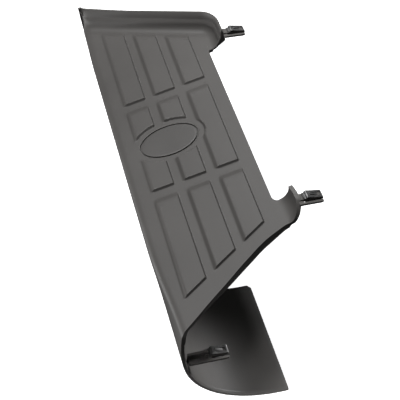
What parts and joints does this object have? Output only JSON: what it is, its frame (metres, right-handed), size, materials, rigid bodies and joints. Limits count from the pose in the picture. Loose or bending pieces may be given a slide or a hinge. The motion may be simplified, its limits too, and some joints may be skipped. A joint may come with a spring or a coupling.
{
  "type": "tailgate step cover",
  "caption": "Moulded clip-on tread cover for a tailgate step, with raised pads, a blank oval insert, an upturned end wall, a rounded nose that rolls under into a flap, and spring clips.",
  "frame": {"origin": "on the underside of the tread, straight below the centre of the oval insert", "axes": "+X along the nose towards the cut end, +Y from the nose towards the vehicle, +Z out of the tread"},
  "size_m": [0.4131, 0.1559, 0.1548],
  "materials": {
    "moulding": "semi-matt moulded polypropylene with a fine grain",
    "insert": "smooth semi-matt moulded plastic",
    "clip_steel": "black phosphated spring steel",
    "nut_steel": "zinc-plated spring steel"
  },
  "bodies": {
    "root": {"step_shell": "moulding", "badge_insert": "insert", "stud_nut_left": "nut_steel", "stud_nut_right": "nut_steel", "clip_far_corner": "clip_steel", "clip_near_corner": "clip_steel", "clip_nose_near": "clip_steel", "clip_nose_mid": "clip_steel", "clip_nose_far": "clip_steel"}
  },
  "joints": []
}
